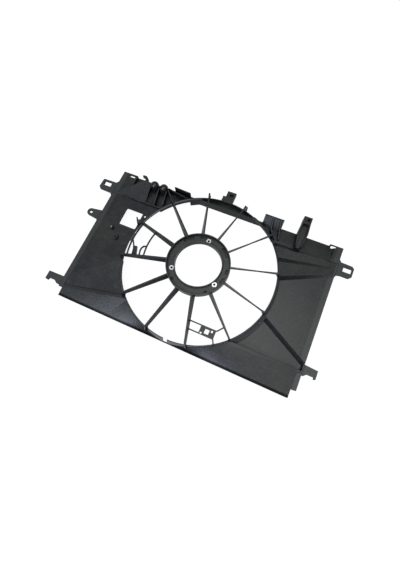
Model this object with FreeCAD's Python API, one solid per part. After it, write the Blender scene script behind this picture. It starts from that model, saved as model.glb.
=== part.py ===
# Radiator fan shroud: one black moulding with three metal bushes for the motor screws.
# It lies on its radiator side. X runs along its long edges, Y towards its upper edge,
# and Z towards the engine. All lengths are in millimetres. Heights are counted from the
# radiator face while the pieces are made, and put() moves the finished piece so that
# the origin is on the motor axis, in the plane of the three bush faces.
import FreeCAD, Part
import math
import os

V = FreeCAD.Vector
UP = V(0, 0, 1)
os.makedirs("parts", exist_ok=True)

# Walls and the panel's height above the radiator face
wall = 3.0
rib_wall = 2.5
panel_height = 30.0
panel_under = panel_height - wall

# Fan ring
fan_bore_r = 190.0
ring_width = 8.5
ring_wall = 2.0
ring_rise = 15.0
drain_gap = 10.0
ring_outer_r = fan_bore_r + ring_width
ring_height = panel_height + ring_rise

# Panel outline: the ring overhangs the upper edge and stays just inside the lower one
half_width = 310.0
ring_overhang = 13.5
ring_margin = 0.5
sunk_drop = 10.0
corner_step = (12.0, 21.0)
sunk_height = panel_height - sunk_drop
sunk_under = sunk_height - wall
top_y = ring_outer_r - ring_overhang
bottom_y = -ring_outer_r - ring_margin
apron_half_width = half_width - corner_step[0]
side_step_y = bottom_y + corner_step[1]

# Motor ring
motor_bore_r = 56.75
motor_ring_width = 21.15
motor_ring_rise = 23.0
motor_ring_depth = 18.0
motor_inner_rim_drop = 2.0
motor_floor_drop = 7.5
motor_floor_wall = 3.0
pocket_depth = 4.0
motor_ring_r = motor_bore_r + motor_ring_width
motor_ring_height = ring_height + motor_ring_rise
motor_ring_foot = motor_ring_height - motor_ring_depth
motor_floor_height = motor_ring_height - motor_floor_drop

# Bushes on the screws' circle
bush_inset = 7.5
bush_count = 3
bush_first_angle = 90.0
bush_r = 6.0
bush_hole_r = 2.75
bush_length = 9.5
bush_stand = 0.5
bush_pad_wall = 3.0
bolt_circle_r = motor_bore_r + bush_inset
bush_face = motor_floor_height + bush_stand

# Vanes
vane_count = 12
vane_first_angle = 15.0
vane_thickness = 3.6
vane_depth = 10.0
vane_lean_hub = 6.6
vane_lean_ring = 1.4
vane_foot_reach = 5.0
vane_foot_width = 3.2
vane_foot_lap = 4.0
vane_pad_width = 5.0
short_foot = 4.0
short_footed_vanes = (0, 10, 11)
vane_low = motor_ring_height - vane_depth


def prism(points, low, high):
    """An upright solid on a plan outline."""
    corners = [V(x, y, low) for x, y in points]
    return Part.Face(Part.makePolygon(corners + corners[:1])).extrude(V(0, 0, high - low))


def block(x0, x1, y0, y1, z0, z1):
    """A box between two corners."""
    return Part.makeBox(x1 - x0, y1 - y0, z1 - z0, V(x0, y0, z0))


def cylinder(r, z0, z1, x=0.0, y=0.0):
    """An upright cylinder."""
    return Part.makeCylinder(r, z1 - z0, V(x, y, z0), UP)


def slab(a0, a1, b0, b1, depth=wall):
    """A sheet ruled from edge a0-a1 to edge b0-b1 on its upper face."""
    near = Part.makeLine(V(*a0), V(*a1))
    far = Part.makeLine(V(*b0), V(*b1))
    return Part.makeRuledSurface(near, far).extrude(V(0, 0, -depth))


def upright(start, end, width, low, high_start, high_end):
    """A wall along a plan line. Its width lies to the left of the line."""
    p = V(start[0], start[1], low)
    q = V(end[0], end[1], low)
    corners = [p, q, V(q.x, q.y, high_end), V(p.x, p.y, high_start), p]
    side = UP.cross(q - p).normalize() * width
    return Part.Face(Part.makePolygon(corners)).extrude(side)


def crest(points, width, low):
    """A wall that follows plan points, with a height at each one and a round at each bend."""
    pieces = []
    for (x0, y0, z0), (x1, y1, z1) in zip(points, points[1:]):
        side = UP.cross(V(x1 - x0, y1 - y0, 0)).normalize() * (width / 2)
        pieces.append(upright((x0 - side.x, y0 - side.y), (x1 - side.x, y1 - side.y), width, low, z0, z1))
    pieces += [cylinder(width / 2, low, z, x, y) for x, y, z in points[1:-1]]
    return fuse(pieces)


def revolve(points):
    """A full turn about the motor axis of a closed outline given as radius and height."""
    corners = [V(r, 0, z) for r, z in points]
    face = Part.Face(Part.makePolygon(corners + corners[:1]))
    return face.revolve(V(0, 0, 0), UP, 360)


def polar(r, angle):
    """A plan point from its radius and its angle in degrees."""
    turn = math.radians(angle)
    return r * math.cos(turn), r * math.sin(turn)


def fuse(pieces):
    """One solid from pieces that touch or overlap."""
    return pieces[0].multiFuse(pieces[1:]).removeSplitter()


def trimmed(shape, neighbours):
    """A piece cut at its neighbours, without the ends that stick out behind them."""
    for neighbour in neighbours:
        shape = shape.cut(neighbour)
    return max(shape.Solids, key=lambda piece: piece.Volume)


def put(name, shape):
    """Move a finished piece to the part's origin and write it."""
    moved = shape.copy()
    moved.translate(V(0, 0, -bush_face))
    moved.exportStep("parts/" + name + ".step")


def ring_sector(r0, r1, a0, a1, z0, z1):
    """A slice of an upright ring."""
    tube = Part.makeCylinder(r1, z1 - z0, V(0, 0, z0), UP, a1 - a0)
    tube = tube.cut(cylinder(r0, z0, z1))
    tube.rotate(V(0, 0, 0), UP, a0)
    return tube


# Fan ring: a thin bell that widens from its rim down to its foot in the panel
above_all = 2 * motor_ring_height
bell = [(ring_outer_r, panel_under), (ring_outer_r, panel_height),
        (fan_bore_r + ring_wall, ring_height), (fan_bore_r, ring_height)]
bell_inside = [(ring_outer_r - ring_wall, panel_height), (ring_outer_r - ring_wall, panel_under)]

# The space around the bell's outside, which every sheet beside it stops at
ring_space = revolve([(0, -1), (ring_outer_r, -1)] + bell[1:3]
                     + [(fan_bore_r + ring_wall, above_all), (0, above_all)])

# The two openings under the ring's rim: their angles and their upper edges
ring_openings = [((166.6, 172.5), ring_height - 4.0), ((179.3, 191.5), ring_height - 6.0)]


def make_fan_ring():
    ring = revolve(bell + bell_inside)
    for angles, top in ring_openings:
        ring = ring.cut(ring_sector(fan_bore_r - 1, ring_outer_r + 1, *angles, 0, top))
    gap = block(-drain_gap / 2, drain_gap / 2, -ring_outer_r - 1, -fan_bore_r + 1, 0, above_all)
    return ring.cut(gap)


# Motor ring: two walls and the channel floor between them, with bosses for the bushes and
# pockets behind the vanes. The pockets' angles count from the first bush.
pocket_r = (bolt_circle_r + 3.25, bolt_circle_r + 10.25)
pocket_angles = [(6, 19), (31, 53), (-54, -32), (-89, -80), (-109, -98)]
corner_pocket_angles = (142.6, 217.4)
corner_pocket_size = 5.0
pocket_wall = 2.0


def bush_places():
    return [polar(bolt_circle_r, bush_first_angle + 360.0 * i / bush_count)
            for i in range(bush_count)]


def motor_ring_wall(inner_r, top):
    """One of the motor ring's two upright walls."""
    wall_ring = cylinder(inner_r + rib_wall, motor_ring_foot, top)
    return wall_ring.cut(cylinder(inner_r, 0, above_all))


def bush_holes():
    return [cylinder(bush_r, bush_face - bush_length, above_all, x, y) for x, y in bush_places()]


def corner_pocket(x, y, size, low, high):
    """A three-cornered block, to cut a pocket or to stand under one."""
    return prism([(x - size, y - size / 2), (x + size, y - size / 2), (x, y + size)], low, high)


def make_motor_ring_inner_wall():
    inner_wall = motor_ring_wall(motor_bore_r, motor_ring_height - motor_inner_rim_drop)
    for hole in bush_holes():
        inner_wall = inner_wall.cut(hole)
    return inner_wall


def make_motor_ring_floor():
    floor_top = motor_floor_height
    floor_under = floor_top - motor_floor_wall
    inner = motor_bore_r + rib_wall
    outer = motor_ring_r - rib_wall
    channel = cylinder(outer, 0, above_all).cut(cylinder(inner, 0, above_all))
    pocket_low = floor_top - pocket_depth
    slices = [(bush_first_angle + a0, bush_first_angle + a1) for a0, a1 in pocket_angles]
    pieces = [cylinder(outer, floor_under, floor_top)]
    pieces += [cylinder(bush_r + bush_pad_wall, motor_ring_foot, floor_top, x, y)
               for x, y in bush_places()]
    pocket_under = pocket_low - pocket_wall
    pieces += [ring_sector(pocket_r[0] - 1, pocket_r[1] + 1, a0 - 1, a1 + 1, pocket_under, floor_top)
               for a0, a1 in slices]
    cuts = [ring_sector(*pocket_r, a0, a1, pocket_low, floor_top + 1) for a0, a1 in slices]
    for angle in corner_pocket_angles:
        x, y = polar(sum(pocket_r) / 2, bush_first_angle + angle)
        size = corner_pocket_size
        pieces.append(corner_pocket(x, y, size + pocket_wall, pocket_under, floor_top))
        cuts.append(corner_pocket(x, y, size, pocket_low, floor_top + 1))
    floor = fuse(pieces).common(channel)
    for cut in cuts + bush_holes():
        floor = floor.cut(cut)
    return floor.removeSplitter()


def make_bush(x, y):
    sleeve = cylinder(bush_r, bush_face - bush_length, bush_face, x, y)
    return sleeve.cut(cylinder(bush_hole_r, 0, above_all, x, y))


# Vanes: pitched blades from the motor ring to a foot that laps the fan ring's rim
def vane_angle(index):
    return vane_first_angle + 360.0 * index / vane_count


def make_vane(index, ring_envelope):
    top = motor_ring_height
    foot_out = fan_bore_r + short_foot if index in short_footed_vanes else ring_outer_r

    def section(r, lean):
        half = vane_thickness / 2
        points = [(-lean / 2 - half, top), (-lean / 2 + half, top),
                  (lean / 2 + half, vane_low), (lean / 2 - half, vane_low)]
        corners = [V(r, t, z) for t, z in points]
        return Part.makePolygon(corners + corners[:1])

    blade = Part.makeLoft([section(motor_ring_r - rib_wall, vane_lean_hub),
                           section(fan_bore_r, vane_lean_ring)], True, True)
    blade = blade.cut(cylinder(motor_ring_r, 0, above_all))
    foot_in = fan_bore_r - vane_foot_reach
    shin = ring_height - vane_foot_lap
    outline = [(foot_in, vane_low), (fan_bore_r, ring_height - ring_wall), (fan_bore_r + ring_wall, shin),
               (foot_out, shin), (foot_out, ring_height + ring_wall),
               (fan_bore_r + ring_wall, top), (foot_in, top), (foot_in, vane_low)]
    foot = Part.Face(Part.makePolygon([V(r, -vane_foot_width / 2, z) for r, z in outline]))
    foot = foot.extrude(V(0, vane_foot_width, 0))
    pad = block(fan_bore_r + 0.5, foot_out, -vane_pad_width / 2, vane_pad_width / 2, shin,
                ring_height + 1)
    vane = fuse([blade, foot, pad])
    vane.rotate(V(0, 0, 0), UP, vane_angle(index))
    return vane.cut(ring_envelope)


# Thin pointed blades that stick out of the ring at two vanes' feet: the vane and the reach
rim_blades = [(2, 7.0), (3, 9.0)]
blade_width = 3.5
blade_depth = 8.0


def with_blade(vane, index, reach, ring_envelope):
    half = blade_width / 2
    blade = prism([(fan_bore_r, -half), (ring_outer_r, -half), (ring_outer_r + reach, half - 1),
                   (ring_outer_r + reach, half), (fan_bore_r, half)],
                  ring_height - blade_depth, ring_height)
    blade.rotate(V(0, 0, 0), UP, vane_angle(index))
    return fuse([vane, blade.cut(ring_envelope)])


# Shared helpers for the sheets around the fan ring
def rounded_box(x_span, y_span, r, low, high):
    """An upright block with rounded corners, to cut a window or slot."""
    x0, x1 = x_span
    y0, y1 = y_span
    long_way = block(x0 + r, x1 - r, y0, y1, low, high)
    wide_way = block(x0, x1, y0 + r, y1 - r, low, high)
    rounds = [cylinder(r, low, high, x, y) for x in (x0 + r, x1 - r) for y in (y0 + r, y1 - r)]
    return fuse([long_way, wide_way] + rounds)


def flat(plan):
    """A level sheet of the panel on a plan outline, stopped at the fan ring."""
    return prism(plan, panel_under, panel_height).cut(ring_space)


def sheet(plan, a, b, c):
    """A sloping sheet on a plan outline, in the plane through three points of its upper face."""
    normal = (V(*b) - V(*a)).cross(V(*c) - V(*a))
    heights = [a[2] - (normal.x * (x - a[0]) + normal.y * (y - a[1])) / normal.z for x, y in plan]
    corners = [V(x, y, z) for (x, y), z in zip(plan, heights)]
    face = Part.Face(Part.makePolygon(corners + corners[:1]))
    return face.extrude(V(0, 0, -wall)).cut(ring_space)


def ring_riser(plan, low):
    """The wall around the fan ring that closes a sunk sheet."""
    tube = cylinder(ring_outer_r + rib_wall, low, panel_height)
    return tube.cut(ring_space).common(prism(plan, low, panel_height))


# Left panel: flat, with the harness window and a small hole between it and the ring
crease_in = (-ring_outer_r + 2.0, -53.0)
crease_out = (-apron_half_width, side_step_y + 32.0)
pocket_south_y = top_y - 69.5
pocket_tip_x = -half_width + 7.0
window_x = (-ring_outer_r - 50.0, -ring_outer_r - 2.0)
window_y = (35.0, 84.0)
window_corner_r = 4.0
panel_hole = (-ring_outer_r + 6.2, 78.5)
panel_hole_r = 2.8


def make_left_panel():
    edge_y = pocket_south_y - rib_wall
    panel = flat([(-half_width, side_step_y), (-apron_half_width, side_step_y), crease_out,
                  crease_in, (0, crease_in[1]), (0, edge_y), (-half_width, edge_y)])
    window = rounded_box(window_x, window_y, window_corner_r, 0, above_all)
    hole = cylinder(panel_hole_r, 0, above_all, *panel_hole)
    return panel.cut(window).cut(hole)


# Lower corners: a sunk facet, a ridge above it and an apron down to the lower edge.
# The turns are where a ridge meets the ring, in degrees from straight down.
ridge_ring_height = panel_height + 12.0
ridge_end_height = panel_height + 2.0
ridge_width = 4.5
left_ridge_y = side_step_y + 6.0
right_ridge_y = side_step_y + 42.0
right_brow_y = side_step_y + 36.7
left_turn = 41.5
right_turn = 41.1
gap_side_turn = 1.5
apron_break_x = ring_outer_r - 38.0
facet_end_x = half_width - wall
step_out = (facet_end_x, side_step_y + 65.0)
step_in = (ring_outer_r - 48.5, -25.0)
step_run = 10.5


def ridge_line(side):
    """The ridge of one lower corner, from its west end to its east end: plan point and height."""
    if side == "left":
        x, y = polar(fan_bore_r, 270 - left_turn)
        return (-apron_half_width, left_ridge_y, ridge_end_height), (x, y + ridge_width, ridge_ring_height)
    x, y = polar(fan_bore_r, 270 + right_turn)
    return (x, y + ridge_width, ridge_ring_height), (facet_end_x, right_ridge_y, ridge_end_height)


def ridge_upright(side):
    """The wall on the facet's side of a ridge, down to the facet's underside."""
    west, east = ridge_line(side)
    rib = upright(west, east, rib_wall, sunk_under, west[2], east[2])
    between = block(-apron_half_width, facet_end_x, bottom_y, 0, 0, above_all)
    return rib.common(between).cut(ring_space)


def make_apron(side):
    west, east = ridge_line(side)
    brow_west = (west[0], west[1] - ridge_width, west[2])
    if side == "left":
        brow_east = (east[0], east[1] - ridge_width, east[2])
    else:
        brow_east = (apron_half_width, right_brow_y, east[2])
    sign = -1 if side == "left" else 1
    inner, outer = (brow_east, brow_west) if side == "left" else (brow_west, brow_east)
    heel = (sign * apron_half_width, bottom_y, panel_height)
    toe = (sign * apron_break_x, bottom_y, panel_height)
    tip = (sign * drain_gap / 2, bottom_y, panel_height)
    turns = (left_turn if side == "left" else right_turn, gap_side_turn)
    arc_points = [V(*polar(fan_bore_r, 270 + sign * turn), ridge_ring_height)
                  for turn in (turns[0], sum(turns) / 2, turns[1])]
    sweep = Part.makeRuledSurface(Part.Arc(*arc_points).toShape(), Part.makeLine(V(*toe), V(*tip)))
    brow = slab(west, east, brow_west, brow_east)
    slope = slab(inner, outer, toe, heel)
    sweep = sweep.extrude(V(0, 0, -wall))
    return fuse([brow.cut(ring_space), slope.cut(ring_space), sweep.cut(ring_space), ridge_upright(side)])


def make_left_facet():
    west, east = ridge_line("left")
    plan = [crease_out, crease_in, (0, crease_in[1]), (0, east[1]), east[:2], west[:2]]
    floor = sheet(plan, (*crease_out, panel_height), (*crease_in, panel_height),
                  (east[0], east[1], sunk_height))
    riser = ring_riser(plan, sunk_under)
    return fuse([floor, riser]).cut(ridge_upright("left"))


def make_right_facet():
    west, east = ridge_line("right")
    foot_in = (step_in[0], step_in[1] - step_run)
    foot_out = (step_out[0], step_out[1] - step_run)
    step = slab((*step_in, panel_height), (*step_out, panel_height),
                (*foot_in, sunk_height), (*foot_out, sunk_height))
    plan = [foot_in, foot_out, east[:2], west[:2], (0, west[1]), (0, foot_in[1])]
    floor = prism(plan, sunk_under, sunk_height)
    end = block(facet_end_x, half_width, right_ridge_y, step_out[1], panel_under, panel_height)
    corner = prism([(apron_half_width, side_step_y), (half_width, side_step_y),
                    (half_width, right_ridge_y), (facet_end_x, right_ridge_y),
                    (apron_half_width, right_brow_y)], panel_under, panel_height)
    around = [step_in, step_out, foot_out, east[:2], west[:2], (0, west[1]), (0, step_in[1])]
    pieces = [step.cut(ring_space), floor.cut(ring_space), end, corner, ring_riser(around, sunk_under)]
    above = prism([step_in, step_out, (facet_end_x, 0), (0, 0)], 0, above_all)
    return trimmed(fuse(pieces), [above, ridge_upright("right")])


# Right side: a flat panel and pleats that fan out from the upper tab's root. Each fold has its
# angle at the ring, its Y at the outer end and the number of rises that it stands up by.
pleat_x = half_width - 5.0
pleat_inner_r = fan_bore_r - 2.0
pleat_out_height = panel_height + 1.0
pleat_rise = 7.0
upper_fold_y = top_y - 44.0
folds = [(48.6, upper_fold_y, 0), (41.2, upper_fold_y - 2, 1), (31.5, upper_fold_y - 13, 1),
         (26.6, upper_fold_y - 17, 2), (15.4, upper_fold_y - 30, 2), (12.9, upper_fold_y - 39, 0)]


def make_right_panel():
    angle, outer_y, rises = folds[-1]
    inner = polar(pleat_inner_r, angle)
    return flat([(0, inner[1]), inner, (pleat_x, outer_y), (pleat_x, upper_fold_y),
                 (half_width, upper_fold_y), (half_width, step_out[1]), step_out, step_in,
                 (0, step_in[1])])


def fold_lines():
    """Both ends of each fold. The first one starts on the sunk edge beside it."""
    edges = []
    for angle, outer_y, rises in folds:
        x, y = polar(pleat_inner_r, angle)
        inner = (x, min(y, upper_fold_y), panel_height + rises * pleat_rise)
        edges.append((inner, (pleat_x, outer_y, pleat_out_height if rises else panel_height)))
    (x, y, z), outer = edges[0]
    return [((x, y, sunk_height), outer)] + edges[1:]


def make_pleats(depth=wall):
    edges = fold_lines()
    pleats = [slab(*upper, *lower, depth).cut(ring_space) for upper, lower in zip(edges, edges[1:])]
    return fuse(pleats)


# Upper right: a sheet that sinks towards the upper edge, a ramp and a level end with a loop
ramp_x = (half_width - 25.0, half_width - 19.0)
edge_in_x = 60.0
right_loop_x = (half_width - 33.0, half_width - 29.0, half_width - 17.0)
right_loop_y = (top_y - 6.0, top_y - 2.5)
riser_reach = 12.0


def upper_right_slope(depth=wall):
    inner, outer = fold_lines()[0]
    share = (ramp_x[0] - inner[0]) / (outer[0] - inner[0])
    fold_end = (ramp_x[0], upper_fold_y, inner[2] + share * (outer[2] - inner[2]))
    edge = (edge_in_x, top_y, sunk_height), (ramp_x[0], top_y, sunk_height)
    slope = slab(inner, fold_end, *edge, depth)
    ramp = slab(fold_end, (ramp_x[1], upper_fold_y, panel_height),
                edge[1], (ramp_x[1], top_y, panel_height), depth)
    return fuse([slope.cut(ring_space), ramp])


def make_upper_right_panel():
    end = block(ramp_x[1], half_width, upper_fold_y, top_y, panel_under, panel_height)
    fold_y = upper_fold_y - riser_reach
    riser = ring_riser([(0, fold_y), (ramp_x[0], fold_y), (ramp_x[0], top_y), (0, top_y)], sunk_under)
    riser = trimmed(riser, [make_pleats(above_all)])
    panel = fuse([upper_right_slope(), end, riser])
    loop_x, slot_x0, slot_x1 = right_loop_x
    panel = panel.cut(block(slot_x0, slot_x1, right_loop_y[0], right_loop_y[1], 0, above_all))
    panel = panel.cut(block(slot_x0, slot_x1, right_loop_y[0], top_y, 0, panel_under))
    post = block(loop_x, slot_x0, right_loop_y[1], top_y, sunk_height - 1, panel_under)
    loop = block(loop_x, slot_x1, right_loop_y[1], top_y, panel_under, panel_height)
    return fuse([panel, post, loop])


# Upper left: a level end and a sunk pocket with a raised wedge, ribs and two domes
wedge_tip = (pocket_tip_x, pocket_south_y, panel_height)
wedge_north_west = (-ring_outer_r - 37.5, top_y - 12.0, panel_height + 9.0)
wedge_north_east = (-ring_outer_r - 21.5, top_y - 12.5, panel_height + 8.0)
wedge_south_east = (-ring_outer_r - 17.0, pocket_south_y, sunk_height + 2.0)
west_end_x = -half_width + 40.0
lower_ridge_height = panel_height + 6.0
dome_places = [(-ring_outer_r - 7.5, top_y - 14.7), (-ring_outer_r + 20.0, top_y - 14.0)]
dome_r = 12.0
dome_height = panel_height + 19.0
pocket_ribs = [((-ring_outer_r + 5.5, top_y - 18.0), (-ring_outer_r + 11.5, top_y - 63.0)),
               ((-ring_outer_r + 28.5, top_y - 18.5), (-ring_outer_r + 34.5, top_y - 59.0)),
               ((-ring_outer_r + 26.9, top_y - 10.0), (-ring_outer_r + 57.5, top_y - 41.5))]
rib_high = panel_height + 8.0
rib_low = panel_height + 3.0
left_slot_x = (-half_width + 22.0, -half_width + 37.0)
left_slot_y = (top_y - 10.5, top_y - 5.0)


def domes():
    shapes = []
    for x, y in dome_places:
        column = cylinder(dome_r, sunk_height, dome_height - dome_r, x, y)
        cap = Part.makeSphere(dome_r, V(x, y, dome_height - dome_r))
        shapes.append(column.fuse(cap).removeSplitter())
    return shapes


def without_domes(shape):
    """A piece of the upper left corner, stopped at the two domes."""
    for dome in domes():
        shape = shape.cut(dome)
    return shape


def upper_ridge():
    """The wall along the wedge's tip and its north side."""
    x, y, z = wedge_north_west
    tip_wall = upright(wedge_tip, wedge_north_west, rib_wall, sunk_under, wedge_tip[2], z)
    north_wall = upright((x - rib_wall, y), wedge_north_east, rib_wall, sunk_under, z, wedge_north_east[2])
    return fuse([tip_wall, north_wall])


def lower_ridge():
    """The wall between the left panel and the pocket."""
    edge_y = pocket_south_y - rib_wall
    wall_box = block(pocket_tip_x, 0, edge_y, pocket_south_y, sunk_under, lower_ridge_height)
    slope_end = wedge_south_east[0]
    over = block(pocket_tip_x, slope_end, edge_y, pocket_south_y, panel_height, lower_ridge_height)
    ramp = upright((pocket_tip_x, edge_y), (slope_end, edge_y), rib_wall, panel_height - 1,
                   panel_height, lower_ridge_height)
    return fuse([wall_box.cut(over), ramp]).cut(ring_space)


def wedge_edge_y(x):
    """Where the wedge's long edge from its tip passes an X."""
    share = (x - wedge_tip[0]) / (wedge_north_west[0] - wedge_tip[0])
    return wedge_tip[1] + share * (wedge_north_west[1] - wedge_tip[1])


def make_upper_left_flange():
    edge_y = pocket_south_y - rib_wall
    riser_x = west_end_x + rib_wall
    corner = (west_end_x, wedge_edge_y(west_end_x))
    foot = (riser_x, wedge_edge_y(riser_x))
    end = prism([(-half_width, edge_y), (pocket_tip_x, edge_y), wedge_tip[:2], corner,
                 (west_end_x, top_y), (-half_width, top_y)], panel_under, panel_height)
    end = end.cut(rounded_box(left_slot_x, left_slot_y, 1.5, 0, above_all))
    riser = prism([corner, foot, (riser_x, top_y), (west_end_x, top_y)], sunk_under, panel_height)
    low = prism([foot, wedge_north_west[:2], (wedge_north_west[0], top_y), (riser_x, top_y)],
                sunk_under, sunk_height)
    return fuse([end, riser, low]).cut(upper_ridge())


def make_pocket():
    wedge = slab(wedge_tip, wedge_south_east, wedge_north_west, wedge_north_east)
    plan = [wedge_north_west[:2], wedge_north_east[:2], wedge_south_east[:2], (0, pocket_south_y),
            (0, top_y), (wedge_north_west[0], top_y)]
    floor = prism(plan, sunk_under, sunk_height).cut(ring_space)
    east = upright(wedge_north_east, wedge_south_east, rib_wall, sunk_under, wedge_north_east[2],
                   wedge_south_east[2])
    return without_domes(fuse([wedge, floor, east, ring_riser(plan, sunk_under)]).cut(upper_ridge()))


def make_pocket_rib(north, south, pocket):
    rib = upright(north, south, rib_wall, sunk_height, rib_high, rib_low)
    return without_domes(rib.cut(pocket).cut(ring_space))


# Skirts: the walls down to the radiator, with steps at the lower corners
def make_side_skirt(sign):
    outer = sign * half_width
    inner = sign * (half_width - wall)
    side = block(min(outer, inner), max(outer, inner), side_step_y, top_y - wall, 0, panel_under)
    step_x = sign * apron_half_width
    step = block(min(outer, step_x), max(outer, step_x), side_step_y, side_step_y + wall, 0, panel_under)
    return fuse([side, step])


def make_bottom_skirt():
    edge = block(-apron_half_width, apron_half_width, bottom_y, bottom_y + wall, 0, panel_under)
    ends = [block(x, x + wall, bottom_y, side_step_y, 0, panel_under)
            for x in (-apron_half_width, apron_half_width - wall)]
    return fuse([edge] + ends)


def ring_ledge():
    """The shelf between the fan ring's foot and the upper skirt, where the ring overhangs it."""
    strip = block(-half_width, half_width, top_y - wall, ring_outer_r, panel_under - wall, panel_under)
    return strip.common(ring_space)


# The upper skirt is lower along the sunk edge. It rises under the ring's overhang, is open
# below the slot and the loop, and has a short wall beside the ring.
skirt_openings = [(-half_width + 10.0, -half_width + 36.0, 12.0), (right_loop_x[1], right_loop_x[2] + 4.0, 10.0)]
ring_side_angles = (113.0, 121.0)


def make_top_skirt():
    inner_y = top_y - wall
    profile = [(-half_width, 0), (half_width, 0), (half_width, panel_under), (ramp_x[1], panel_under),
               (ramp_x[0], sunk_under), (west_end_x, sunk_under), (west_end_x, panel_under),
               (-half_width, panel_under)]
    corners = [V(x, inner_y, z) for x, z in profile]
    skirt = Part.Face(Part.makePolygon(corners + corners[:1])).extrude(V(0, wall, 0))
    for x0, x1, low in skirt_openings:
        skirt = skirt.cut(block(x0, x1, inner_y, top_y, low, panel_under))
    raised = block(-half_width, half_width, inner_y, top_y, sunk_under, panel_under - wall)
    side = ring_sector(ring_outer_r, ring_outer_r + rib_wall, *ring_side_angles, 0, sunk_under)
    return fuse([skirt, raised.common(ring_space), side])


# Tabs and hooks on the sides. Each outline counts from the panel's edge outwards and from
# a corner of the panel in Y.
tab_wall = 5.0
tab_low = panel_height - tab_wall
left_slot_tab = [(0, -35), (5, -41), (42, -42), (44, -44), (45, -68), (39, -74), (8, -75), (0, -82)]
left_tab_slot = ((15.0, 36.5), (-59.5, -47.0))
right_slot_tab = [(0, -81), (4, -73), (12, -71), (32, -71), (38, -65), (38, -43), (33, -38), (5, -37),
                  (0, -31)]
right_tab_slot = ((13.5, 34.0), (-58.5, -46.0))
tab_slot_corner_r = 1.0
left_hook = [(0, 27), (43, 26), (43, 4), (35, 3), (33, 9), (17, 9), (8, 3), (0, 3)]
right_hook = [(0, 61), (31, 59), (31, 39), (27, 37), (26, 42), (10, 42), (4, 36), (0, 36)]
eyelet_reach = 27.0
eyelet_y = 37.5
eyelet_r = 10.5
eyelet_hole = (5.0, 3.5)
eyelet_hole_corner_r = 3.4


def make_tab(sign, base_y, outline, slot=None):
    edge = sign * half_width
    tab = prism([(edge + sign * x, base_y + y) for x, y in outline], tab_low, panel_height)
    if slot:
        x_span = sorted(edge + sign * x for x in slot[0])
        y_span = [base_y + y for y in slot[1]]
        tab = tab.cut(rounded_box(x_span, y_span, tab_slot_corner_r, 0, above_all))
    return tab


def make_eyelet():
    x = -half_width - eyelet_reach
    y = eyelet_y
    across, along = eyelet_hole
    arm = prism([(-half_width, y + eyelet_r + 4), (x, y + eyelet_r), (x, y - eyelet_r),
                 (-half_width - 3, y - eyelet_r - 3), (-half_width, y - eyelet_r - 7)],
                tab_low, panel_height)
    eye = fuse([arm, cylinder(eyelet_r, tab_low, panel_height, x, y)])
    hole = rounded_box((x - across, x + across), (y - along, y + along), eyelet_hole_corner_r, 0, above_all)
    return eye.cut(hole)


# Brackets on the upper edge
box_x = (101.0, 151.5)
box_reach = 13.5
box_height = panel_height + 12.0
box_slope_height = panel_height + 10.0
box_side_height = panel_height + 1.0
box_slope_y = top_y - 9.0
channel_ridges = [[(123.5, top_y + 12, box_height), (127.5, top_y - 19, panel_height + 6),
                   (144, top_y - 37.5, panel_height - 4)],
                  [(143, top_y + 12, box_height), (149, top_y - 16, panel_height + 6),
                   (154.5, top_y - 36, panel_height - 2)]]
finger_outline = [(-7, -43), (8, -43), (13, -4), (10.5, 28), (10.5, 43.5), (-10.8, 43.5), (-10.8, 28),
                  (-13, -4)]
finger_inner = [(-4.5, -46), (5.5, -46), (9.5, -4), (7, 23), (-7.5, 23), (-9.5, -4)]
finger_x = ring_outer_r + 6.0
finger_height = panel_height + 13.0
finger_hole = (finger_x + 2.6, top_y + 33.7)
finger_hole_r = 4.0
finger_collar = (7.0, 2.0)
clip_height = (ring_height - 11.0, ring_height - 1.0)
clip_block = (-12.5, 11.0, fan_bore_r, ring_outer_r + 25.3)
clip_step = (-19.5, -12.5, fan_bore_r, ring_outer_r + 8.0)
clip_window = (-4.0, 6.0, ring_outer_r + 11.0, ring_outer_r + 19.0)
clip_floor = 2.5
flap_x = (-ring_outer_r + 48.0, -ring_outer_r + 93.5)
flap_height = (panel_height + 12.0, panel_height + 8.0)
edge_ridge = ((-ring_outer_r + 30.5, top_y - 8.5), (-ring_outer_r + 88.5, top_y - 22.0))
edge_ridge_height = (panel_height + 5.0, panel_height + 14.0)
edge_hook = [(65, 0), (74, 0), (71, 6), (63, 12), (52, 12), (53, 7), (62, 5)]
edge_hook_height = sunk_height + 5.0


def on_slope(shape):
    """A bracket without what would lie under the upper right sheet or inside the ring."""
    return trimmed(shape, [upper_right_slope(above_all), make_upper_right_panel(), ring_space])


def make_box_bracket():
    x0, x1 = box_x
    y1 = top_y + box_reach
    back_y = y1 - rib_wall
    back = block(x0, x1, back_y, y1, sunk_under, box_height)
    sides = [upright((x + rib_wall, top_y), (x + rib_wall, y1), rib_wall, sunk_under, box_side_height,
                     box_height) for x in (x0, x1 - rib_wall)]
    slope = slab((x0, back_y, box_slope_height), (x1, back_y, box_slope_height),
                 (x0, box_slope_y, sunk_height + 1), (x1, box_slope_y, sunk_height + 1))
    ridges = [crest(points, rib_wall, sunk_height - 1) for points in channel_ridges]
    return on_slope(fuse([back, slope] + sides + ridges))


def make_finger_bracket():
    arm = prism([(finger_x + x, top_y + y) for x, y in finger_outline], sunk_under, finger_height)
    trough = prism([(finger_x + x, top_y + y) for x, y in finger_inner], panel_height + wall,
                   finger_height + 1)
    collar_r, collar_height = finger_collar
    collar = cylinder(collar_r, finger_height, finger_height + collar_height, *finger_hole)
    return on_slope(fuse([arm.cut(trough), collar]).cut(cylinder(finger_hole_r, 0, above_all, *finger_hole)))


def make_ring_clip():
    tall = block(*clip_block, *clip_height)
    short = block(*clip_step, *clip_height)
    window = block(*clip_window, clip_height[0] + clip_floor, above_all)
    return fuse([tall, short]).cut(ring_space).cut(window)


def make_flap():
    return upright((flap_x[0], top_y - wall), (flap_x[1], top_y - wall), wall, sunk_height,
                   *flap_height)


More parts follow.
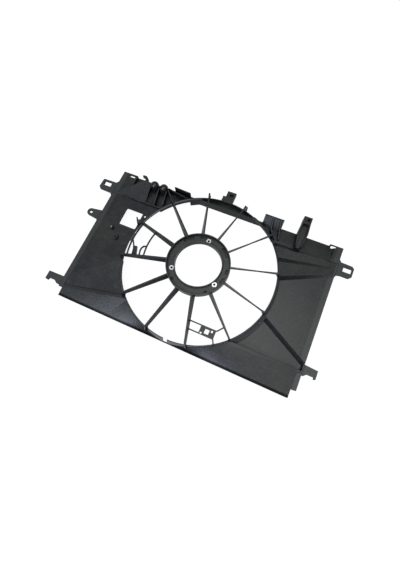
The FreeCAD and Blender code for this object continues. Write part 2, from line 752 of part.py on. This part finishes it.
def make_edge_ridge(pocket):
    ridge = upright(*edge_ridge, rib_wall, sunk_height, *edge_ridge_height)
    return without_domes(ridge.cut(ring_space).cut(pocket))


def make_edge_hook():
    return prism([(-half_width + x, top_y + y) for x, y in edge_hook], sunk_under, edge_hook_height)


# Small pieces on the left panel, beside the ring and the harness window
stud_place = (-ring_outer_r - 59.5, 16.0)
stud_r = 4.5
stud_chamfer = 2.0
stud_height = panel_height + 10.0
boss_place = (-ring_outer_r - 37.5, -4.4)
boss_r = 6.0
boss_hole_r = 2.2
boss_height = panel_height + 6.0
prong_height = panel_height + 10.0
prong_width = 2.6
prong = [(window_x[1] + 4.5, 49.0), (window_x[1], 55.0), (window_x[1] - 6.7, 66.0)]


def make_stud():
    x, y = stud_place
    neck = stud_height - stud_chamfer
    tip = Part.makeCone(stud_r, stud_r - stud_chamfer, stud_chamfer, V(x, y, neck), UP)
    return cylinder(stud_r, panel_height, neck, x, y).fuse(tip).removeSplitter()


def make_boss():
    x, y = boss_place
    return cylinder(boss_r, panel_height, boss_height, x, y).cut(
        cylinder(boss_hole_r, panel_height, boss_height, x, y))


def make_window_clip():
    return crest([(x, y, prong_height) for x, y in prong], prong_width, panel_height)


# Wire guides between the sixth and seventh vanes, and the harness plate between the tenth and
# eleventh. They are drawn where the vanes start at 15 degrees, and turn with the vanes.
drawn_first_angle = 15.0
guide_height = (vane_low, vane_low + 4.0)
guide_bar = 3.0
outer_guide_r = fan_bore_r - 12.0
inner_guide_r = 136.5
outer_guide = [(-outer_guide_r, 0), (-172.6, -7.9), (-167.4, -15.9), (-164.1, -23.3), (-161.5, -34), (-158, -48)]
inner_guide = [(-inner_guide_r, -6), (-143.3, -8.5), (-146.5, -14.5), (-147, -21.5), (-144.5, -31), (-142, -42)]
post_line = [(-160.6, -16.4), (-151, -43)]
post_width = 6.8
post_rise = 4.0
plate_height = (vane_low, vane_low + 3.5)
plate_x = (66.0, 102.0)
plate_y = (-151.0, -129.0)
plate_hole = ((77.5, 88.0), (-145.5, -134.5))
plate_small_holes = [((91.5, 96.0), (-138.0, -133.0)), ((68.5, 73.0), (-149.0, -145.0))]
plate_leg_angle = -56.2
plate_leg_width = 4.0


def bar(points, low, high, width=guide_bar):
    """A flat bar that follows plan points."""
    return crest([(x, y, high) for x, y in points], width, low)


def between_vanes(shape, neighbours):
    """A piece turned with the vanes and stopped at the two that hold it and at the fan ring."""
    shape.rotate(V(0, 0, 0), UP, vane_first_angle - drawn_first_angle)
    return trimmed(shape, neighbours)


def make_wire_guide(r, points, neighbours):
    """An arc from vane to vane and a bar that branches off it."""
    arc = ring_sector(r - guide_bar / 2, r + guide_bar / 2, 165, 195, *guide_height)
    return between_vanes(fuse([arc, bar(points, *guide_height)]), neighbours)


def make_guide_post(neighbours):
    low, high = guide_height
    return between_vanes(bar(post_line, low, high + post_rise, post_width), neighbours)


def make_harness_plate(neighbours):
    low, high = plate_height
    x0, x1 = plate_x
    y0, y1 = plate_y
    plate = block(x0, x1, y0, y1, low, high)
    for x_span, y_span in [plate_hole] + plate_small_holes:
        plate = plate.cut(rounded_box(x_span, y_span, 1.0, 0, above_all))
    half = guide_bar / 2
    leg_top = polar(fan_bore_r, plate_leg_angle)
    leg_foot = polar(fan_bore_r + guide_bar, plate_leg_angle)
    upper = bar([(x0 - 36, y1 - half), (x0 + 1, y1 - half)], low, high)
    lower = bar([(x0 - 32, y0 + half), (x0 + 1, y0 + half)], low, high)
    link = bar([(x1 - 1, y1 - 2), (x1 + 2, y1), (x1 + 14.5, y1 + 15.5)], low, high)
    strut = bar([(x1 - half, y0 + 3), leg_top, leg_foot], low, high)
    leg = bar([leg_top, leg_foot], ring_height, high, plate_leg_width)
    return between_vanes(fuse([plate, upper, lower, link, strut, leg]), neighbours)


# Write every piece
ring_envelope = revolve(bell + [(fan_bore_r, panel_under)])
put("fan_ring", make_fan_ring())
put("motor_ring_inner_wall", make_motor_ring_inner_wall())
put("motor_ring_floor", make_motor_ring_floor())
put("motor_ring_outer_wall", motor_ring_wall(motor_ring_r - rib_wall, motor_ring_height))
vanes = [make_vane(index, ring_envelope) for index in range(vane_count)]
for index, reach in rim_blades:
    vanes[index] = with_blade(vanes[index], index, reach, ring_envelope)
for index, vane in enumerate(vanes):
    put("vane_%02d" % (index + 1), vane)
for index, (bush_x, bush_y) in enumerate(bush_places()):
    put("motor_bush_%d" % (index + 1), make_bush(bush_x, bush_y))
put("left_panel", make_left_panel())
put("lower_left_facet", make_left_facet())
put("lower_left_apron", trimmed(make_apron("left"), vanes))
put("right_panel", make_right_panel())
put("right_pleats", trimmed(make_pleats(), vanes))
put("lower_right_facet", make_right_facet())
put("lower_right_apron", trimmed(make_apron("right"), vanes))
put("upper_right_panel", make_upper_right_panel())
put("upper_left_flange", make_upper_left_flange())
pocket = make_pocket()
put("upper_left_pocket", pocket)
put("pocket_upper_ridge", upper_ridge())
put("pocket_lower_ridge", lower_ridge())
for index, (rib_north, rib_south) in enumerate(pocket_ribs):
    put("pocket_rib_%d" % (index + 1), make_pocket_rib(rib_north, rib_south, pocket))
for index, dome in enumerate(domes()):
    put("dome_boss_%d" % (index + 1), dome)
put("left_skirt", make_side_skirt(-1))
put("right_skirt", make_side_skirt(1))
put("top_skirt", make_top_skirt())
put("bottom_skirt", make_bottom_skirt())
put("ring_ledge", ring_ledge())
put("left_slot_tab", make_tab(-1, top_y, left_slot_tab, left_tab_slot))
put("right_slot_tab", make_tab(1, top_y, right_slot_tab, right_tab_slot))
put("left_lower_hook", make_tab(-1, side_step_y, left_hook))
put("right_lower_hook", make_tab(1, side_step_y, right_hook))
put("left_eyelet_tab", make_eyelet())
put("top_box_bracket", make_box_bracket())
put("top_finger_bracket", make_finger_bracket())
put("ring_top_clip", make_ring_clip())
put("top_left_flap", make_flap())
put("top_edge_ridge", make_edge_ridge(pocket))
put("top_edge_hook", make_edge_hook())
put("locating_stud", make_stud())
put("screw_boss", make_boss())
put("window_clip", make_window_clip())
put("wire_guides", make_wire_guide(outer_guide_r, outer_guide, vanes[5:7]))
put("inner_wire_guide", make_wire_guide(inner_guide_r, inner_guide, vanes[5:7]))
put("guide_post", make_guide_post(vanes[5:7]))
put("harness_plate", make_harness_plate(vanes[9:11] + [ring_envelope]))
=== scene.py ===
import math
import bpy
from mathutils import Matrix, Vector


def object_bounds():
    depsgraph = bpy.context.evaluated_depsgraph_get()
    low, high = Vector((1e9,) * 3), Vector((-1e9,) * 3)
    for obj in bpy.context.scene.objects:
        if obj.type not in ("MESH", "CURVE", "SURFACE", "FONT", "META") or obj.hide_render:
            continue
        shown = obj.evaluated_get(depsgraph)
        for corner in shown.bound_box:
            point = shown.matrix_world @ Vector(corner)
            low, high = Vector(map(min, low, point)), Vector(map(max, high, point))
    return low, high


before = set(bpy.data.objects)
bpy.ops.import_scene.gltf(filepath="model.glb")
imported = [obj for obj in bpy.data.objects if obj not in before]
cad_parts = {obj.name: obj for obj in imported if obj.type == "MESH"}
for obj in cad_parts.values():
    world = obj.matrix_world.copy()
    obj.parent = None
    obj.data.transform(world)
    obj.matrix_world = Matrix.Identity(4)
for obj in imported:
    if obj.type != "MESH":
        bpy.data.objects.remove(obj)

cad_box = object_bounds()
mm = 0.001

# Camera: the photograph's viewing angle, distance and lens
camera_place = Vector((137.8, -208.5, 658.6)) * mm
camera_azimuth = math.radians(34.72)
camera_elevation = math.radians(73.28)
camera_roll = math.radians(-11.46)
focal_length = 18.54
sensor_width = 36.0

# Floor: half its width, its gap under the part, its white, the grey that takes the shadow, and
# the grey that it shows to diffuse light
floor_half = 6.0
floor_gap = 0.0005
floor_glow = 0.94
shadow_grey = (0.15, 0.15, 0.15, 1)
floor_grey = (0.4, 0.4, 0.4, 1)
white = (1, 1, 1, 1)

# Sky: its strength climbs towards the bright side, from and to these values
bright_side = (0.0, -0.12, 1.0)
sky_climb = (0.1, 0.9)
sky_strength = (0.06, 0.55)
sky_colour = (0.90, 0.95, 1.0, 1)

# Lamps: name, place, size, watts and colour. Each one aims at the origin.
softboxes = [
    ("overhead", (0.25, 0.18, 1.9), (1.3, 1.1), 9.5, (1.0, 0.99, 0.95)),
    ("sky_side", (-0.42, -1.15, 1.46), (1.1, 0.7), 23.0, (0.76, 0.82, 1.0)),
]

# Where along X the lighter bands at the two side edges fade in, and where along Y the painted shade
# # of the dark hem at the lower edge does
side_band = (0.2955, 0.2985)
shaded_hem = (-0.1915, -0.1945)

# Rounding of the meshes' edges, all of them and the stud's
edge_bevel = 0.0004
stud_bevel = 0.0012
bevel_segments = 3
bevel_angle = math.radians(38)

# How far the lighter edges (wear and painted highlight) reach from an edge, how far the painted fold
# # highlight and the painted border shade reach, and how near a face must be for the painted corner
# # shade that dims its neighbour's gloss
edge_round = 0.0009
edge_shade = 0.0032
corner_reach = 0.007

# Colours of the plastic: the moulded ground, dust, specks, scratches and the lighter side bands,
# # then a painted highlight for slopes and one for level faces, lighter edges that are partly wear
# # and partly painted highlight, a painted highlight for folds, and the painted shade of the borders
ground_cool = (0.0065, 0.0072, 0.0088, 1)
ground_warm = (0.011, 0.012, 0.009, 1)
dust_colour = (0.031, 0.034, 0.028, 1)
speck_colour = (0.085, 0.086, 0.082, 1)
scratch_colour = (0.12, 0.12, 0.115, 1)
band_colour = (0.075, 0.078, 0.075, 1)
slope_highlight_colour = (0.12, 0.123, 0.13, 1)
level_highlight_colour = (0.20, 0.205, 0.20, 1)
wear_and_highlight_colour = (0.15, 0.152, 0.15, 1)
fold_highlight_colour = (0.055, 0.060, 0.070, 1)
shaded_border_colour = (0.002, 0.002, 0.002, 1)

# How much of each the plastic shows
dust_share = 0.6
speck_share = 0.35
scratch_share = 0.35
band_share = 0.35
fold_highlight_share = 0.4
shaded_border_share = 0.85

# Scales of the plastic's patterns, in features to the metre. The scratches are drawn out along
# one direction.
flow_scale = 9.0
mottle_scale = 55.0
ripple_scale = 120.0
speck_scale = 420.0
grain_scale = 2200.0
scratch_scale = (26, 420, 60)
scratch_turn = (0, 0, 0.5)

# Between which values of its pattern each mark fades in
dust_fade = (0.42, 0.66)
speck_fade = (0.56, 0.72)
scratch_fade = (0.66, 0.76)

# Between which values of the normal's height a face counts as level
level_fade = (0.9, 0.99)

# Between which values of flatness the lighter edge (partly wear, partly painted highlight), the painted
# fold highlight and the painted border shade come in
wear_and_highlight_fade = (0.985, 0.90)
fold_highlight_fade = (0.9995, 0.990)
shaded_border_fade = (0.95, 0.78)

# Strength and depth of the bumps, and the roughness of clean and of dusty plastic
grain_bump = (0.35, 0.00015)
ripple_bump = (0.22, 0.0007)
plastic_rough = (0.30, 0.44)

# Zinc of the bushes
zinc_dull = (0.62, 0.62, 0.60, 1)
zinc_bright = (0.80, 0.80, 0.78, 1)
zinc_scale = 900.0
zinc_fade = (0.3, 0.7)
zinc_rough = (0.24, 0.4)
zinc_bump = (0.15, 0.0001)


def add_camera():
    back = Vector((math.sin(camera_azimuth) * math.cos(camera_elevation),
                   -math.cos(camera_azimuth) * math.cos(camera_elevation),
                   math.sin(camera_elevation)))
    right = Vector((math.cos(camera_azimuth), math.sin(camera_azimuth), 0))
    up = back.cross(right)
    turned_right = right * math.cos(camera_roll) + up * math.sin(camera_roll)
    turned_up = up * math.cos(camera_roll) - right * math.sin(camera_roll)
    data = bpy.data.cameras.new("camera")
    data.lens = focal_length
    data.sensor_width = sensor_width
    camera = bpy.data.objects.new("camera", data)
    camera.matrix_world = Matrix((
        (turned_right.x, turned_up.x, back.x, camera_place.x),
        (turned_right.y, turned_up.y, back.y, camera_place.y),
        (turned_right.z, turned_up.z, back.z, camera_place.z),
        (0, 0, 0, 1)))
    bpy.context.collection.objects.link(camera)
    bpy.context.scene.camera = camera


# Node helpers for the materials and the sky
class Nodes:
    """The node tree of a material or world, with short calls to add and join nodes."""

    def __init__(self, owner, output_kind="ShaderNodeOutputMaterial"):
        owner.use_nodes = True
        self.owner = owner
        self.tree = owner.node_tree
        self.tree.nodes.clear()
        self.output = self.tree.nodes.new(output_kind)

    def add(self, kind, values=(), **settings):
        node = self.tree.nodes.new(kind)
        for key, value in settings.items():
            setattr(node, key, value)
        for key, value in dict(values).items():
            self.feed(node.inputs[key], value)
        return node

    def feed(self, socket, value):
        if isinstance(value, bpy.types.NodeSocket):
            self.tree.links.new(value, socket)
        else:
            socket.default_value = value

    def finish(self, shader):
        """Joins the last shader to the output, and returns the material or world."""
        self.feed(self.output.inputs["Surface"], shader.outputs[0])
        return self.owner

    def math(self, operation, *values):
        node = self.add("ShaderNodeMath", operation=operation)
        for socket, value in zip(node.inputs, values):
            self.feed(socket, value)
        return node.outputs[0]

    def product(self, a, b):
        return self.math("MULTIPLY", a, b)

    def spread(self, value, low, high, to_low=0.0, to_high=1.0):
        """Maps low..high of a value to a new range, and stops at its ends."""
        node = self.add("ShaderNodeMapRange", {"Value": value, "From Min": low, "From Max": high,
                                               "To Min": to_low, "To Max": to_high})
        return node.outputs["Result"]

    def mix(self, factor, a, b):
        node = self.add("ShaderNodeMix", data_type="RGBA")
        self.feed(node.inputs["Factor"], factor)
        self.feed(node.inputs[6], a)
        self.feed(node.inputs[7], b)
        return node.outputs[2]

    def dot(self, a, b):
        return self.add("ShaderNodeVectorMath", {0: a, 1: b}, operation="DOT_PRODUCT").outputs["Value"]

    def flatness(self, rounded, geometry):
        """One on a flat face, and less where the rounded normal turns away near an edge."""
        return self.dot(rounded.outputs[0], geometry.outputs["Normal"])

    def split(self, vector):
        return self.add("ShaderNodeSeparateXYZ", {"Vector": vector}).outputs

    def noise(self, place, scale, detail, roughness=0.55):
        node = self.add("ShaderNodeTexNoise", {"Vector": place, "Scale": scale, "Detail": detail,
                                               "Roughness": roughness})
        return node.outputs["Fac"]

    def bump(self, height, strength, distance, **below):
        """A bump, which lies on the normal below it where one is given."""
        return self.add("ShaderNodeBump", {"Strength": strength, "Distance": distance,
                                           "Height": height, **below}).outputs[0]

    def choose(self, factor, a, b):
        """Shader a where the factor is 0, and b where it is 1."""
        return self.add("ShaderNodeMixShader", {0: factor, 1: a.outputs[0], 2: b.outputs[0]})


def moulded_plastic(name, side_bands=True, shaded_borders=True, edge_wear_and_highlight=0.25, smooth=0.0,
                    slope_highlight=0.0, level_highlight=0.0):
    """Black glass-filled plastic: eroded grain, flow marks, dust and scratches, with lighter edges that
    are partly wear and partly painted highlight, painted highlights on slopes, level faces and folds, and
    painted shade at the borders and in corners.
    """
    n = Nodes(bpy.data.materials.new(name))
    geometry = n.add("ShaderNodeNewGeometry")
    place = geometry.outputs["Position"]
    x, y = n.split(place)[:2]
    facing = n.split(geometry.outputs["Normal"])[2]
    level = n.spread(facing, *level_fade)

    # Patterns
    flow = n.noise(place, flow_scale, 2.0)
    mottle = n.noise(place, mottle_scale, 5.0, 0.65)
    speck = n.spread(n.noise(place, speck_scale, 2.0, 0.5), *speck_fade)
    drawn = n.add("ShaderNodeMapping", {"Vector": place, "Rotation": scratch_turn, "Scale": scratch_scale})
    scratch = n.spread(n.noise(drawn.outputs[0], 1.0, 2.0, 0.5), *scratch_fade)
    dust = n.spread(n.math("ADD", n.product(flow, 0.45), n.product(mottle, 0.55)), *dust_fade)
    dust = n.product(dust, n.spread(level, 0.0, 1.0, 0.25, 1.0))

    # Colour, from the ground up
    base = n.mix(n.spread(flow, 0.35, 0.65), ground_cool, ground_warm)
    base = n.mix(n.product(dust, dust_share), base, dust_colour)
    base = n.mix(n.product(speck, speck_share), base, speck_colour)
    base = n.mix(n.product(n.product(scratch, level), scratch_share), base, scratch_colour)
    if side_bands:
        band = n.spread(n.math("ABSOLUTE", x), *side_band)
        base = n.mix(n.product(n.product(band, level), band_share), base, band_colour)
    # Painted highlight: faces of middle slope are made lighter, standing in for the light they catch
    if slope_highlight:
        steep = n.product(n.spread(facing, 0.1, 0.25), n.spread(facing, 0.9, 0.7))
        base = n.mix(n.product(steep, slope_highlight), base, slope_highlight_colour)
    # Painted highlight: level faces are made lighter, standing in for the light on their tops
    if level_highlight:
        base = n.mix(n.product(level, level_highlight), base, level_highlight_colour)

    # Lighter edges, partly wear and partly painted highlight; upright faces get less gloss, standing in
    # for
    # # their shade, and painted shade dims the gloss of enclosed faces
    rounded = n.add("ShaderNodeBevel", {"Radius": edge_round}, samples=6)
    worn_and_highlit = n.spread(n.flatness(rounded, geometry), *wear_and_highlight_fade)
    worn_and_highlit = n.product(worn_and_highlit, n.spread(mottle, 0.35, 0.6, 0.3, 1.0))
    base = n.mix(n.product(worn_and_highlit, edge_wear_and_highlight), base, wear_and_highlight_colour)
    # Painted shade: the gloss is dimmed where a neighbouring face is near, as in corners and recesses
    open_air = n.add("ShaderNodeAmbientOcclusion", {"Distance": corner_reach}, samples=6).outputs["AO"]
    gloss_with_painted_shade = n.product(n.spread(facing, 0.15, 0.5, 0.08, 0.5), n.spread(open_air, 0.35, 0.75, 0.12, 1.0))
    if shaded_borders:
        wide = n.flatness(n.add("ShaderNodeBevel", {"Radius": edge_shade}, samples=10), geometry)
        # Painted highlight: gentle folds are made paler, standing in for the light they catch
        base = n.mix(n.spread(wide, *fold_highlight_fade, 0.0, fold_highlight_share), base, fold_highlight_colour)
        # Painted shade: strong edges and the lower hem are made near black, and lose gloss there
        shaded_border = n.math("MAXIMUM", n.spread(wide, *shaded_border_fade), n.spread(y, *shaded_hem))
        base = n.mix(n.product(shaded_border, shaded_border_share), base, shaded_border_colour)
        gloss_with_painted_shade = n.product(gloss_with_painted_shade, n.spread(shaded_border, 0.0, 1.0, 1.0, 0.2))

    # Grain and ripples
    grain = n.noise(place, grain_scale, 2.0, 0.6)
    ripple = n.noise(place, ripple_scale, 3.0)
    fine = n.bump(grain, *grain_bump, Normal=rounded.outputs[0])
    coarse = n.bump(ripple, *ripple_bump, Normal=fine)
    rough = n.spread(n.math("ADD", flow, n.product(dust, 0.35)), 0.3, 1.0,
                     plastic_rough[0] - smooth, plastic_rough[1] - smooth)
    return n.finish(n.add("ShaderNodeBsdfPrincipled", {
        "Base Color": base, "Roughness": rough, "Specular IOR Level": gloss_with_painted_shade, "Normal": coarse}))


def bush_metal():
    """Bright zinc on turned steel."""
    n = Nodes(bpy.data.materials.new("bush_metal"))
    place = n.add("ShaderNodeNewGeometry").outputs["Position"]
    speck = n.noise(place, zinc_scale, 3.0)
    base = n.mix(speck, zinc_dull, zinc_bright)
    rough = n.spread(speck, *zinc_fade, *zinc_rough)
    return n.finish(n.add("ShaderNodeBsdfPrincipled", {
        "Base Color": base, "Roughness": rough, "Metallic": 1.0,
        "Normal": n.bump(speck, *zinc_bump)}))


def white_floor():
    """White with a faint shadow to the camera, in reflections and through glass. Pale grey to
    all other light."""
    n = Nodes(bpy.data.materials.new("white_floor"))
    path = n.add("ShaderNodeLightPath")
    seen = n.math("MAXIMUM", path.outputs["Is Camera Ray"], path.outputs["Is Glossy Ray"])
    seen = n.math("MAXIMUM", seen, path.outputs["Is Transmission Ray"])
    glow = n.add("ShaderNodeEmission", {"Color": white, "Strength": floor_glow})
    faint = n.add("ShaderNodeBsdfDiffuse", {"Color": shadow_grey})
    both = n.add("ShaderNodeAddShader", {0: glow.outputs[0], 1: faint.outputs[0]})
    plain = n.add("ShaderNodeBsdfDiffuse", {"Color": floor_grey})
    return n.finish(n.choose(seen, plain, both))


def add_floor():
    half = floor_half
    z = cad_box[0][2] - floor_gap
    mesh = bpy.data.meshes.new("floor")
    mesh.from_pydata([(-half, -half, z), (half, -half, z), (half, half, z), (-half, half, z)], [],
                     [(0, 1, 2, 3)])
    mesh.materials.append(white_floor())
    floor = bpy.data.objects.new("floor", mesh)
    bpy.context.collection.objects.link(floor)


def add_world():
    """White to the camera. To all other rays, a dome that is dim low down and brighter high up."""
    n = Nodes(bpy.data.worlds.new("studio"), "ShaderNodeOutputWorld")
    path = n.add("ShaderNodeLightPath")
    direction = n.add("ShaderNodeTexCoord").outputs["Generated"]
    climb = n.spread(n.dot(direction, bright_side), *sky_climb, *sky_strength)
    dome = n.add("ShaderNodeBackground", {"Color": sky_colour, "Strength": climb})
    plain = n.add("ShaderNodeBackground", {"Color": white})
    bpy.context.scene.world = n.finish(n.choose(path.outputs["Is Camera Ray"], dome, plain))


def add_softbox(name, place, size, power, colour):
    data = bpy.data.lights.new(name, "AREA")
    data.shape = "RECTANGLE"
    data.size, data.size_y = size
    data.energy = power
    data.color = colour
    lamp = bpy.data.objects.new(name, data)
    lamp.rotation_euler = (-Vector(place)).to_track_quat("-Z", "Y").to_euler()
    lamp.location = place
    bpy.context.collection.objects.link(lamp)


def round_edges(node, width):
    bevel = node.modifiers.new("edge_round", "BEVEL")
    bevel.width = width
    bevel.segments = bevel_segments
    bevel.limit_method = "ANGLE"
    bevel.angle_limit = bevel_angle


add_camera()
add_floor()
add_world()
for softbox in softboxes:
    add_softbox(*softbox)

# Finishes: the panels', and those of the nodes whose name holds the words given
# The copies of the plastic differ in painted light: the ring's slopes and the motor ring's and stud's
# level faces get painted highlights, the ribs, domes and stud get stronger lighter edges, and only the
# panels and pleats get the painted border shade and the painted fold highlight
plastic = moulded_plastic("moulded_plastic")
pleat_plastic = moulded_plastic("plain_plastic", side_bands=False)
ring_plastic = moulded_plastic("ring_plastic", side_bands=False, shaded_borders=False, edge_wear_and_highlight=0.35,
                               slope_highlight=0.8)
motor_ring_plastic = moulded_plastic("motor_ring_plastic", side_bands=False, shaded_borders=False,
                                     edge_wear_and_highlight=0.5, level_highlight=0.05)
stud_plastic = moulded_plastic("stud_plastic", side_bands=False, shaded_borders=False,
                               edge_wear_and_highlight=1.0, smooth=0.16, level_highlight=0.9)
rib_plastic = moulded_plastic("rib_plastic", side_bands=False, shaded_borders=False, edge_wear_and_highlight=1.0)
dome_plastic = moulded_plastic("smooth_plastic", side_bands=False, shaded_borders=False,
                               edge_wear_and_highlight=0.8, smooth=0.16)
finishes = [("motor_bush", bush_metal()), ("motor_ring", motor_ring_plastic), ("fan_ring", ring_plastic),
            ("pocket_", rib_plastic), ("top_edge_ridge", rib_plastic),
            ("locating_stud", stud_plastic), ("dome", dome_plastic), ("right_pleats", pleat_plastic)]
for name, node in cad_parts.items():
    finish = next((chosen for words, chosen in finishes if words in name), plastic)
    for slot in node.material_slots:
        slot.material = finish
    round_edges(node, stud_bevel if name == "locating_stud" else edge_bevel)

bpy.context.scene.view_settings.view_transform = "Standard"
